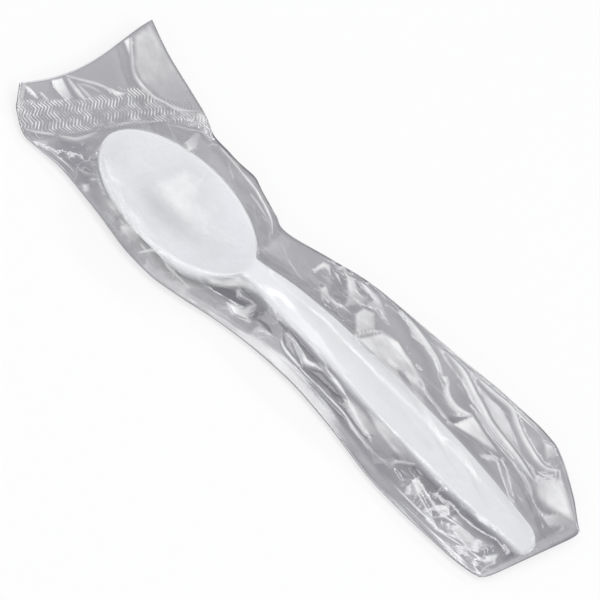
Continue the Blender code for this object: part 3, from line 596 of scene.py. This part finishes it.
# a line bent smoothly through its points
def bentLine(points):
    at = np.array(points, float)
    at = np.concatenate([[2 * at[0] - at[1]], at, [2 * at[-1] - at[-2]]])
    t = np.linspace(0, 1, 5)[:-1, None]
    parts = []
    for a, b, c, d in zip(at[:-3], at[1:-2], at[2:-1], at[3:]):
        bends = (2 * a - 5 * b + 4 * c - d) * t**2 + (3 * b - a - 3 * c + d) * t**3
        parts.append(0.5 * (2 * b + (c - a) * t + bends))
    return np.concatenate(parts + [at[-2:-1]])


# a fold's reach on the soft and the crisp side of its line, and what is left of it at its ends
foldForm = {"soft": 1.7, "crisp": 0.75, "endWide": 0.45, "endStrong": 0.5}


# a fold's strength at each place, fading towards both ends of its line
def foldStrength(p, points, wide):
    line = bentLine(points)
    steps = np.linalg.norm(np.diff(line, axis=0), axis=1)
    start = np.concatenate([[0], np.cumsum(steps)])
    best = np.full(len(p), 1e9)
    side = np.zeros(len(p))
    share = np.zeros(len(p))
    for k, (a, b) in enumerate(zip(line[:-1], line[1:])):
        way = b - a
        t = np.clip(((p - a) @ way) / (way @ way), 0, 1)
        off = p - a - t[:, None] * way
        d = np.hypot(*off.T)
        closer = d < best
        best = np.where(closer, d, best)
        side = np.where(closer, way[0] * (p[:, 1] - a[1]) - way[1] * (p[:, 0] - a[0]), side)
        share = np.where(closer, (start[k] + t * steps[k]) / start[-1], share)
    taper = foldForm["endWide"] + (1 - foldForm["endWide"]) * np.sqrt(np.clip(4 * share * (1 - share), 0, 1))
    reach = wide * taper * np.where(side > 0, foldForm["soft"], foldForm["crisp"])
    return np.exp(-((best / reach) ** 2)) * (foldForm["endStrong"] + (1 - foldForm["endStrong"]) * taper)


# 1 inside a patch, fading over its soft edge
def inPatch(p, corners, soft):
    inside = np.zeros(len(p), bool)
    for (ax, ay), (bx, by) in zip(corners, corners[1:] + corners[:1]):
        crosses = (ay > p[:, 1]) != (by > p[:, 1])
        rise = by - ay if by != ay else 1e-9
        inside ^= crosses & (p[:, 0] < (bx - ax) * (p[:, 1] - ay) / rise + ax)
    d = toLine(p, corners + corners[:1])
    return smooth(0.5 + np.where(inside, d, -d) / (2 * soft))


# crumpled film: facets by size in mm, length for width, height in mm and seed, then how strongly their painted
# highlights and painted shade show
crumpling = {
    "large": (4.5, 2.0, 0.55, 3), "fine": (1.9, 1.8, 0.22, 5),
    "largeTone": 0.65, "fineTone": 0.45, "leastTone": 0.25, "pale": 0.9, "dark": 0.7,
    "everywhere": 0.12, "onSpoon": 0.15, "freeFrom": 1.2, "spotSoft": 0.3,
    "scatter": 0.42, "lightX": -0.6, "lightY": 0.8, "toneFull": 0.7,
}


# heights of a sheet folded into random flat facets, and their tones: 1 where turned to the light, -1 where away
def facets(points, cell, stretch, tall, seed):
    rng = np.random.default_rng(seed)
    low, high = points[:, :2].min(axis=0) - 10, points[:, :2].max(axis=0) + 10
    nx, ny = int((high[0] - low[0]) / (cell * stretch)), int((high[1] - low[1]) / cell)
    gx, gy = np.meshgrid(np.arange(nx), np.arange(ny), indexing="ij")
    spots = np.stack([gx, gy], -1).reshape(-1, 2)
    spots = spots + rng.uniform(-crumpling["scatter"], crumpling["scatter"], (nx * ny, 2))
    spots = low + spots * [cell * stretch, cell]
    heights = rng.uniform(-tall, tall, len(spots))
    verts, _, tris, *_ = geometry.delaunay_2d_cdt([Vector(v) for v in spots], [], [], 0, 1e-6)
    tree = bvhtree.BVHTree.FromPolygons([(v.x, v.y, h) for v, h in zip(verts, heights)], tris)
    down = Vector((0, 0, -1))
    got = [tree.ray_cast(Vector((x, y, 50)), down)[:2] for x, y in points[:, :2]]
    height = np.array([spot.z if spot else 0.0 for spot, _ in got])
    light = Vector((crumpling["lightX"], crumpling["lightY"], 0))
    tone = np.array([turn.dot(light) * math.copysign(1, turn.z) if spot else 0.0 for spot, turn in got])
    return height, np.clip(tone * cell / (crumpling["toneFull"] * tall), -1, 1)


# what the marks of the picture do at each place: rise in mm, whiteness of painted highlights and darkness of
# painted shade
def pictureMarks(pix):
    rise, pale, dark, hazeAndGlare = (np.zeros(len(pix)) for _ in range(4))
    for points, wide, tall, white in foldLines.values():
        part = foldStrength(pix, points, film["foldWide"] * wide)
        rise += film["foldRise"] * tall * part
        pale = np.maximum(pale, film["foldWhite"] * white * part)
    for corners, soft, tall, shade in darkPockets.values():
        part = inPatch(pix, corners, soft)
        rise += tall * part
        dark = np.maximum(dark, shade * part)
    # each patch's painted highlight is brightest towards its first corner
    for corners, soft, tall, white in litPatches.values():
        part = inPatch(pix, corners, film["patchSoft"] * soft)
        rise += tall * part
        middle = np.mean(corners, axis=0)
        way = np.array(corners[0]) - middle
        slope = (pix - middle) @ way / np.linalg.norm(way) / np.ptp(corners, axis=0).max()
        hazeAndGlare = np.maximum(hazeAndGlare, white * part * np.clip(0.9 + 0.6 * slope, 0.5, 1.15))
    return rise, np.maximum(pale, hazeAndGlare * (1 - np.clip(1.2 * dark, 0, 1))), dark


# how crumpled the film is at each place: less where it is tight over the spoon
def crumpledAt(pix, points):
    got = np.full(len(pix), crumpling["everywhere"])
    for middle, radius, strength in crumpledSpots:
        d = np.hypot(*(pix - np.array(middle)).T)
        got = np.maximum(got, strength * (1 - smooth(d / radius - crumpling["spotSoft"])))
    over = underOrOver(points[:, 0], points[:, 1], film["upperMargin"], True) + film["spoonGap"] + film["thick"]
    free = smooth((points[:, 2] - over) / crumpling["freeFrom"])
    return got * (crumpling["onSpoon"] + (1 - crumpling["onSpoon"]) * free)


# 1 over the spoon; seen from the camera, its near wall shows past its outline
def overSpoonAt(points):
    along = np.clip(points[:, 0], 0, spoon["length"])
    wall = film["wallShow"] * curve(spoon["side"], along / spoon["length"])
    wall = np.where(points[:, 1] < 0, wall * smooth((film["wallShowTo"] - along) / film["wallShowFade"]), 0)
    got = smooth(0.5 + (halfWidth(along) + wall - np.abs(points[:, 1])) / film["overSoft"])
    return got * ((points[:, 0] > 0) & (points[:, 0] < spoon["length"]))


# columns of the lower ply at the shares cs, the first few raised over the seam's other edge
def lowerPart(u, cs, raisedCount):
    flat = place(u, np.broadcast_to(cs, (len(u), len(cs))))
    low = flat.copy()
    low[..., 2] = lowerHeight(flat, u, cs, middleHeight(flat, u, cs))
    low[:, :raisedCount, 2] += film["seamStep"]
    return low


# one sheet: from the seam under the spoon to the near fold, over the spoon, and back to the seam
def makeFilm():
    tailU = np.linspace(0, film["bandFrom"], film["tailRows"], endpoint=False)
    bandU = np.linspace(film["bandFrom"], film["bandTo"], film["bandRows"], endpoint=False)
    bodyU = np.linspace(film["bandTo"], film["weldFrom"], film["bodyRows"])
    weldU = np.linspace(film["weldFrom"], lastStation, film["weldRows"])[1:]
    u = np.concatenate([tailU, bandU, bodyU, weldU])
    topC = np.linspace(0, 1, film["topColumns"])
    topC[0], topC[-1] = 0.003, 0.997
    top = place(u, np.broadcast_to(topC, (len(u), len(topC))))
    middle = middleHeight(top, u, topC)
    top[..., 2] = middle + film["foldRadius"]
    body = slice(len(tailU) + len(bandU), len(tailU) + len(bandU) + len(bodyU))
    top[body, :, 2] = drape(bodyU, topC)
    openBy = film["opening"] * (1 - tailU / film["bandFrom"])[:, None] * np.sin(math.pi * topC)
    top[: len(tailU), :, 2] += openBy
    normal = np.cross(np.gradient(top, axis=0), np.gradient(top, axis=1))
    normal /= np.linalg.norm(normal, axis=2)[..., None]
    normal *= np.sign(normal[..., 2:3])
    flatTop = top.reshape(-1, 3)
    pix = photoPlace(flatTop)
    rise, pale, dark = pictureMarks(pix)
    crumpled = crumpledAt(pix, flatTop)
    large, largeTone = facets(flatTop, *crumpling["large"])
    fine, fineTone = facets(flatTop, *crumpling["fine"])
    # facets turned to the light get a painted highlight, those turned away painted shade
    tone = crumpling["largeTone"] * largeTone + crumpling["fineTone"] * fineTone
    catching = crumpling["pale"] * crumpled * np.maximum(tone - crumpling["leastTone"], 0)
    pale = np.maximum(pale, catching * (1 - np.clip(1.5 * dark, 0, 1)))
    turned = crumpling["dark"] * crumpled * np.maximum(-tone - crumpling["leastTone"], 0)
    dark = np.maximum(dark, turned * (1 - smooth(pale / 0.3)))
    fromSide = np.minimum(topC, 1 - topC) * film["flatWidth"]
    wave = (0.7 + 0.3 * np.sin(1.7 * u) * np.sin(0.9 * u + 1))[:, None]
    # a painted highlight along each side fold and a painted shade line inside it
    foldGlint = smooth((fromSide - film["foldGlintFrom"]) / 0.4) * (1 - smooth((fromSide - film["foldGlintTo"]) / 0.5))
    pale = np.maximum(pale, (film["foldGlintWhite"] * foldGlint[None, :] * wave).ravel())
    line = np.exp(-(((fromSide - film["foldShadeAt"]) / 0.35) ** 2))
    dark = np.maximum(dark, (film["foldShadeDark"] * line[None, :] * wave).ravel())
    # folds and facets rise less in the band, at the weld and at the sides
    ends = np.interp(u, [0, 1.9, 2.0, 3.0, 3.1, 17.3, 17.8, 18], [1, 1, 0.2, 0.2, 1, 1, 0.3, 0.2])
    atSides = smooth(topC / 0.04) * smooth((1 - topC) / 0.04)
    move = (rise + (large + fine) * crumpled).reshape(top.shape[:2]) * ends[:, None] * atSides[None, :]
    top = top + normal * move[..., None]
    top[..., 2] = np.maximum(top[..., 2], middle + film["thick"])
    bodyTop = top[body].reshape(-1, 3)
    clear = underOrOver(bodyTop[:, 0], bodyTop[:, 1], 0.2, True) + film["thick"]
    top[body, :, 2] = np.maximum(bodyTop[:, 2], clear).reshape(top[body].shape[:2])
    lap = film["seamLap"] / 2
    firstC = np.concatenate([
        np.linspace(film["seamPlace"] + lap, film["seamPlace"] - lap - 0.008, 5),
        np.linspace(film["seamPlace"] - lap - 0.03, 0.2, 16), np.linspace(0.18, 0.008, 9),
    ])
    lastC = np.concatenate([np.linspace(0.992, 0.86, 8), np.linspace(0.84, film["seamPlace"] - lap, 8)])
    sides = place(u, np.broadcast_to([0.0, 1.0], (len(u), 2)))
    near, far, half = sides[:, 0], sides[:, 1], np.array([0, 0, film["foldHalf"]])
    ring = np.concatenate([
        lowerPart(u, firstC, 5), (near - half)[:, None], (near + half)[:, None], top,
        (far + half)[:, None], (far - half)[:, None], lowerPart(u, lastC, 0),
    ], axis=1)
    obj = meshObject("film_sleeve", ring.reshape(-1, 3), gridFaces(*ring.shape[:2]))
    start = len(firstC) + 2

    def onTop(values):
        got = np.zeros(ring.shape[:2])
        got[:, start : start + len(topC)] = values.reshape(top.shape[:2])
        return got

    # values that the film's material reads from its points
    lowerPly = 1 - onTop(np.ones(top.shape[:2]))
    shares = np.concatenate([firstC, [0, 0], topC, [1, 1], lastC])
    fromSide = np.minimum(shares, 1 - shares) * film["flatWidth"]
    low = ((u >= film["bandFrom"]) & (u <= film["bandTo"]))[:, None] * lowerPly
    endEdge = np.maximum(np.exp(-((u / 0.03) ** 2)), np.exp(-(((lastStation - u) / 0.03) ** 2)))
    for name, values in {
        "pale": onTop(pale), "dark": onTop(dark), "crumple": onTop(crumpled),
        "overSpoon": onTop(overSpoonAt(flatTop)),
        "lowerPly": lowerPly, "lap": lowerPly * (np.abs(shares - film["seamPlace"]) < lap + 0.004),
        "sideEdge": np.exp(-((fromSide / 0.24) ** 2)), "sideZone": np.exp(-((fromSide / 5.5) ** 2)),
        "band": onTop(inPatch(pix, bandCorners, 1.2)) + 0.5 * low, "across": shares * film["flatWidth"],
        "along": (u * film["bandWide"])[:, None], "endEdge": endEdge[:, None],
    }.items():
        attr = obj.data.attributes.new(name, "FLOAT", "POINT")
        values = np.broadcast_to(values, ring.shape[:2])
        attr.data.foreach_set("value", np.ascontiguousarray(values, np.float32).ravel())
    return obj


def newMaterial(name):
    mat = bpy.data.materials.new(name)
    mat.use_nodes = True
    nodes, links = mat.node_tree.nodes, mat.node_tree.links
    return mat, nodes, links, nodes["Principled BSDF"]


def noiseNode(tree, scale, detail=2.0, vector=None):
    node = tree.nodes.new("ShaderNodeTexNoise")
    node.inputs["Scale"].default_value = scale
    node.inputs["Detail"].default_value = detail
    if vector is not None:
        tree.links.new(vector, node.inputs["Vector"])
    return node.outputs["Fac"]


def tintNode(tree, fac, dark, light):
    node = tree.nodes.new("ShaderNodeValToRGB")
    for element, colour in zip(node.color_ramp.elements, (dark, light)):
        element.color = (*colour, 1)
    tree.links.new(fac, node.inputs["Fac"])
    return node.outputs["Color"]


def bumpNode(tree, height, strength, tall):
    node = tree.nodes.new("ShaderNodeBump")
    node.inputs["Strength"].default_value = strength
    node.inputs["Distance"].default_value = tall
    tree.links.new(height, node.inputs["Height"])
    return node.outputs["Normal"]


def mixNode(tree, share, first, second):
    node = tree.nodes.new("ShaderNodeMixShader")
    for socket, value in zip(node.inputs, (share, first, second)):
        tree.links.new(value.outputs[0], socket)
    return node.outputs["Shader"]


# moulded white plastic: a faint cloud of colour, a fine satin grain and a little depth, in metres
plasticLook = {
    "dark": (0.83, 0.838, 0.87), "light": (0.855, 0.863, 0.89), "cloud": 60, "grain": 900, "grainStrength": 0.05,
    "grainTall": 0.0002, "rough": 0.5, "depthShare": 0.6, "depth": 0.004,
}


def plasticMaterial():
    mat, nodes, links, shader = newMaterial("spoon_plastic_look")
    shader.inputs["Roughness"].default_value = plasticLook["rough"]
    shader.inputs["Subsurface Weight"].default_value = plasticLook["depthShare"]
    shader.inputs["Subsurface Scale"].default_value = plasticLook["depth"]
    shader.inputs["Subsurface Radius"].default_value = (1.0, 1.0, 1.0)
    spot = nodes.new("ShaderNodeTexCoord").outputs["Object"]
    cloud = noiseNode(mat.node_tree, plasticLook["cloud"], vector=spot)
    colour = tintNode(mat.node_tree, cloud, plasticLook["dark"], plasticLook["light"])
    links.new(colour, shader.inputs["Base Color"])
    grain = noiseNode(mat.node_tree, plasticLook["grain"], vector=spot)
    bump = bumpNode(mat.node_tree, grain, plasticLook["grainStrength"], plasticLook["grainTall"])
    links.new(bump, shader.inputs["Normal"])
    return mat


# the film's colours, how opaque each feature makes it, how strongly each shows, and its gloss; the lower ply's
# dark colour and the shade colour are painted shade, the white is that of painted highlights
filmLook = {
    "clear": (0.19, 0.18, 0.26), "under": (0.052, 0.048, 0.085),
    "glareWhite": (0.95, 0.95, 0.95), "shade": (0.08, 0.08, 0.10),
    "topAlpha": 0.14, "lowAlpha": 0.72, "lapAlpha": -0.27, "paleAlpha": 0.80, "darkAlpha": 0.45,
    "edgeAlpha": 0.36, "overAlpha": -0.10, "edgeShade": 0.75,
    "haze": 0.16, "hazeScale": 70, "mottle": 0.9, "mottleScale": 150,
    "pleatAlong": 0.07, "pleatAcross": 1.1, "pleatGlint": 4.0, "pleatShade": 1.75,
    "crease": 0.6, "creaseScale": 190, "creaseThin": 40, "whiteFull": 1.3,
    "knurl": 0.85, "rowTall": 2.0, "rowSlant": 0.6, "stripe": 0.48, "sparkle": 2.6, "sparkleScale": 420,
    "ior": 4.0, "rough": 0.12, "underRough": 0.55, "paleRough": 0.40, "darkDull": 0.40,
    "grainScale": 260, "bump": 0.6, "bumpTall": 0.0001,
}


def filmMaterial():
    mat, nodes, links, shader = newMaterial("clear_film_look")
    look = filmLook
    shader.inputs["IOR"].default_value = look["ior"]

    def attribute(name):
        node = nodes.new("ShaderNodeAttribute")
        node.attribute_name = name
        return node.outputs["Fac"]

    def calc(op, a, b=0.0, clamp=False):
        node = nodes.new("ShaderNodeMath")
        node.operation = op
        node.use_clamp = clamp
        for k, v in enumerate((a, b)):
            if isinstance(v, (int, float)):
                node.inputs[k].default_value = v
            else:
                links.new(v, node.inputs[k])
        return node.outputs[0]

    def blend(fac, a, b):
        node = nodes.new("ShaderNodeMix")
        node.data_type = "RGBA"
        for key, v in (("Factor", fac), ("A", a), ("B", b)):
            socket = [s for s in node.inputs if s.name == key and (key == "Factor" or s.type == "RGBA")][0]
            if isinstance(v, tuple):
                socket.default_value = (*v, 1)
            else:
                links.new(v, socket)
        return [s for s in node.outputs if s.type == "RGBA"][0]

    def noise(scale, detail, vector):
        return noiseNode(mat.node_tree, scale, detail, vector)

    def plus(a, b, clamp=False):
        return calc("ADD", a, b, clamp)

    def minus(a, b):
        return calc("SUBTRACT", a, b)

    def times(a, b, clamp=False):
        return calc("MULTIPLY", a, b, clamp)

    def most(a, b, clamp=False):
        return calc("MAXIMUM", a, b, clamp)

    spot = nodes.new("ShaderNodeTexCoord").outputs["Object"]
    along, across = attribute("along"), attribute("across")
    pale, dark, low, over = attribute("pale"), attribute("dark"), attribute("lowerPly"), attribute("overSpoon")
    edge = most(attribute("sideEdge"), attribute("endEdge"))
    hazeAndGlare = times(minus(noise(look["hazeScale"], 5, spot), 0.45), look["haze"])
    # painted highlight and painted shade streaks of fine pleats that run along both sides of the sleeve
    pleats = nodes.new("ShaderNodeCombineXYZ")
    links.new(times(along, look["pleatAlong"]), pleats.inputs[0])
    links.new(times(across, look["pleatAcross"]), pleats.inputs[1])
    pleat = times(minus(noise(1.0, 2, pleats.outputs[0]), 0.5), attribute("sideZone"))
    pleat = times(pleat, minus(1.0, low))
    pleatGlint = times(most(pleat, 0.0), look["pleatGlint"])
    pleatShade = times(most(times(pleat, -1.0), 0.0), look["pleatShade"])
    # thin bent creases in the crumpled places, drawn paler: partly crease whitening, partly painted glints
    bend = calc("ABSOLUTE", minus(noise(look["creaseScale"], 3, spot), 0.5))
    bend = times(bend, look["creaseThin"])
    crease = times(times(most(minus(1.0, bend), 0.0), look["crease"]), attribute("crumple"))
    # herringbone of the crimped band; its whiteness is a painted glint that sparkles
    zig = times(calc("PINGPONG", along, look["rowTall"]), look["rowSlant"])
    wave = calc("PINGPONG", plus(across, zig), look["stripe"])
    sparkle = times(minus(noise(look["sparkleScale"], 4, spot), 0.2), look["sparkle"])
    knurl = times(times(times(wave, 1 / look["stripe"]), attribute("band")), sparkle, True)
    mottled = times(noise(look["mottleScale"], 5, spot), look["mottle"])
    pale = times(pale, plus(mottled, 1 - 0.5 * look["mottle"]))
    # painted highlights from the marks, pleats, creases and band, with some crease whitening
    white = most(most(pale, pleatGlint), most(crease, times(knurl, look["knurl"])))
    dark = most(dark, pleatShade)
    alpha = plus(hazeAndGlare, look["topAlpha"])
    for value, k in (
        (low, look["lowAlpha"] - look["topAlpha"]), (attribute("lap"), look["lapAlpha"]),
        (over, look["overAlpha"]), (white, look["paleAlpha"]), (dark, look["darkAlpha"]),
        (edge, look["edgeAlpha"]),
    ):
        alpha = plus(alpha, times(value, k))
    links.new(calc("MINIMUM", most(alpha, 0.03), 0.96), shader.inputs["Alpha"])
    rough = plus(times(low, look["underRough"] - look["rough"]), look["rough"])
    # the sheen is duller in the dark pockets
    gloss = minus(0.5, times(dark, look["darkDull"]))
    links.new(most(gloss, 0.0), shader.inputs["Specular IOR Level"])
    links.new(plus(rough, times(white, look["paleRough"]), True), shader.inputs["Roughness"])
    # painted shade: the lower ply is tinted near black so that the film over the floor looks grey
    colour = blend(low, look["clear"], look["under"])
    # the painted highlights turn the film white; over the spoon the film is tinted the same white
    colour = blend(plus(times(white, look["whiteFull"]), over, True), colour, look["glareWhite"])
    # painted shade in the dark pockets, on facets turned away and along the film's edges
    shaded = most(dark, times(edge, look["edgeShade"]), True)
    colour = blend(shaded, colour, look["shade"])
    links.new(colour, shader.inputs["Base Color"])
    grain = plus(noise(look["grainScale"], 3, spot), times(knurl, 0.5))
    links.new(bumpNode(mat.node_tree, grain, look["bump"], look["bumpTall"]), shader.inputs["Normal"])
    return mat


# the lamps: azimuth, elevation, width and height in degrees as seen from the object, then brightness
lamps = {
    "world": 0.40, "worldColour": (0.97, 0.98, 1.0, 1), "perRadiance": math.pi,
    "boxes": {
        "overhead": (174, 84, 40, 8, 6.0),
        "left": (-80, 52, 8, 40, 6.0),
        "right": (80, 52, 8, 40, 6.0),
        "back": (176, 36, 60, 5, 6.0),
        "front": (0, 16, 40, 24, 2.8),
    },
}
# the floor: its reach and how far it lies below the film in mm, its tints, and how plain white the camera sees it
ground = {
    "reach": 900, "below": 0.1, "plain": 0.7,
    "dark": (0.945, 0.945, 0.945), "light": (0.955, 0.955, 0.955), "grain": 3.0,
}


def makeStage():
    r, z = ground["reach"], -ground["below"]
    floor = meshObject("floor", [(-r, -r, z), (r, -r, z), (r, r, z), (-r, r, z)], [(0, 1, 2, 3)])
    mat, nodes, links, shader = newMaterial("white_floor")
    shader.inputs["Roughness"].default_value = 0.9
    shader.inputs["Specular IOR Level"].default_value = 0.0
    tint = tintNode(mat.node_tree, noiseNode(mat.node_tree, ground["grain"]), ground["dark"], ground["light"])
    links.new(tint, shader.inputs["Base Color"])
    # the camera sees the floor mostly plain white
    share = nodes.new("ShaderNodeMath")
    share.operation = "MULTIPLY"
    share.inputs[1].default_value = ground["plain"]
    links.new(nodes.new("ShaderNodeLightPath").outputs["Is Camera Ray"], share.inputs[0])
    mixed = mixNode(mat.node_tree, share, shader, nodes.new("ShaderNodeEmission"))
    links.new(mixed, nodes["Material Output"].inputs["Surface"])
    floor.data.materials.append(mat)
    world = bpy.data.worlds.new("world")
    bpy.context.scene.world = world
    world.use_nodes = True
    nodes, links = world.node_tree.nodes, world.node_tree.links
    nodes["Background"].inputs["Color"].default_value = lamps["worldColour"]
    nodes["Background"].inputs["Strength"].default_value = lamps["world"]
    # past the floor it sees plain white; a light path's first output is Is Camera Ray
    beyond = nodes.new("ShaderNodeBackground")
    beyond.inputs["Color"].default_value = (1, 1, 1, 1)
    either = mixNode(world.node_tree, nodes.new("ShaderNodeLightPath"), nodes["Background"], beyond)
    links.new(either, nodes["World Output"].inputs["Surface"])
    for name, (az, el, wide, tall, bright) in lamps["boxes"].items():
        data = bpy.data.lights.new(name, "AREA")
        data.shape = "RECTANGLE"
        data.size, data.size_y = (2 * math.tan(math.radians(v) / 2) for v in (wide, tall))
        data.energy = bright * data.size * data.size_y * lamps["perRadiance"]
        lamp = bpy.data.objects.new(name, data)
        bpy.context.scene.collection.objects.link(lamp)
        a, e = math.radians(az), math.radians(el)
        way = Vector((math.sin(a) * math.cos(e), -math.cos(a) * math.cos(e), math.sin(e)))
        side = Vector((math.cos(a), math.sin(a), 0))
        lamp.matrix_world = Matrix.Translation(way) @ Matrix([side, way.cross(side), way]).transposed().to_4x4()


print("camera")
bpy.context.scene.view_settings.view_transform = "Standard"
makeCamera()
print("spoon")
teaspoon = makeSpoon()
teaspoon.data.materials.append(plasticMaterial())
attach(teaspoon, "root")
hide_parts("spoon")
print("film")
sleeve = makeFilm()
sleeve.data.materials.append(filmMaterial())
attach(sleeve, "root")
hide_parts("film_wrapper")
print("floor and light")
makeStage()
